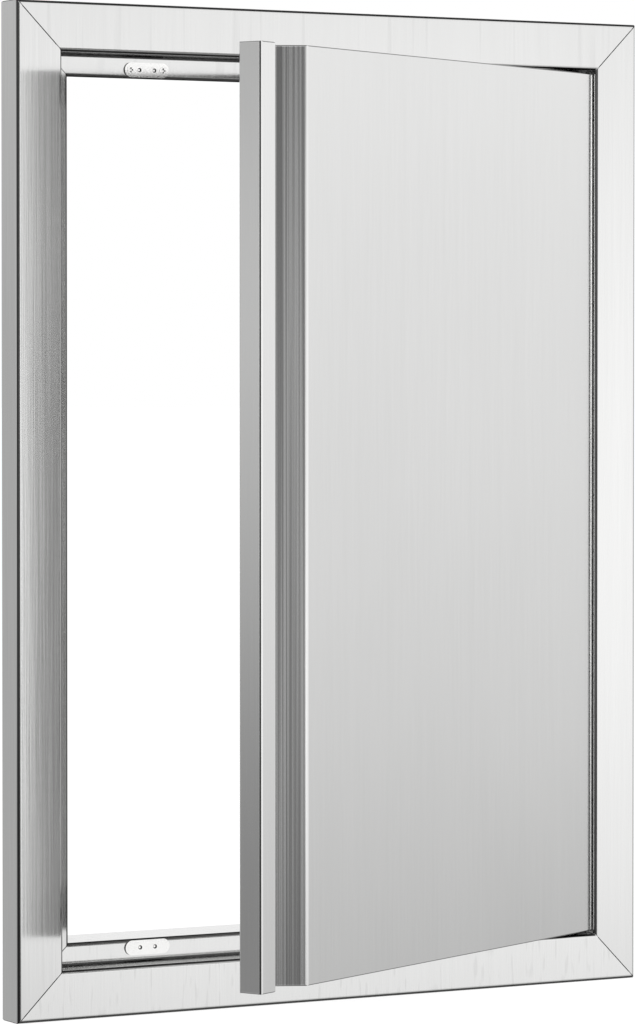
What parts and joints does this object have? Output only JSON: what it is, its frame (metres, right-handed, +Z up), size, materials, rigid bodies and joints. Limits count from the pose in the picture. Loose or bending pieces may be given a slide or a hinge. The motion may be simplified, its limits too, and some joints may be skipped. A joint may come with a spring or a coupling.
{
  "type": "bbq island access door",
  "caption": "Stainless access door for an outdoor kitchen island: mitred frame with a liner, and a pin-hinged double-wall door with a full-height pull edge and magnetic catches.",
  "frame": {"origin": "middle of the wall opening, in the plane of the wall's outer face", "axes": "+X to the right seen from outside, +Y into the wall, +Z up; the hinge is at +X"},
  "size_m": [0.437, 0.2224, 0.61],
  "materials": {
    "stainless_frame": "vertical brushed grain",
    "stainless_door": "vertical brushed grain",
    "bright_nickel": "bright nickel plate, slightly scuffed",
    "zinc_steel": "zinc-plated steel",
    "black_zinc": "black zinc plate, satin",
    "nylon": "black nylon",
    "case_plastic": "moulded grey plastic"
  },
  "bodies": {
    "frame": {"frame_top_rail": "stainless_frame", "frame_bottom_rail": "stainless_frame", "frame_left_stile": "stainless_frame", "frame_right_stile": "stainless_frame", "frame_corner_gussets": "zinc_steel", "top_strike_plate": "bright_nickel", "bottom_strike_plate": "bright_nickel", "top_strike_screws": "bright_nickel", "bottom_strike_rivets": "bright_nickel", "top_hinge_plate": "black_zinc", "bottom_hinge_plate": "black_zinc", "hinge_plate_screws": "black_zinc", "top_hinge_bush": "nylon", "bottom_hinge_bush": "nylon"},
    "door": {"door_front_skin": "stainless_door", "door_back_panel": "stainless_door", "door_top_channel": "stainless_door", "door_bottom_channel": "stainless_door", "door_stiffener": "stainless_door", "top_pivot_block": "black_zinc", "bottom_pivot_block": "black_zinc", "pivot_block_screws": "zinc_steel", "top_hinge_pin": "black_zinc", "bottom_hinge_pin": "black_zinc", "top_magnet_case": "case_plastic", "bottom_magnet_case": "case_plastic", "top_magnet": "bright_nickel", "bottom_magnet": "bright_nickel", "magnet_case_screws": "zinc_steel", "back_panel_rivets": "bright_nickel"}
  },
  "joints": [
    {"name": "door_hinge", "type": "hinge", "parent": "frame", "child": "door", "pos_m": [0.1809, -0.0157, 0], "axis": [0, 0, 1], "range_deg": [-27, 75]}
  ]
}
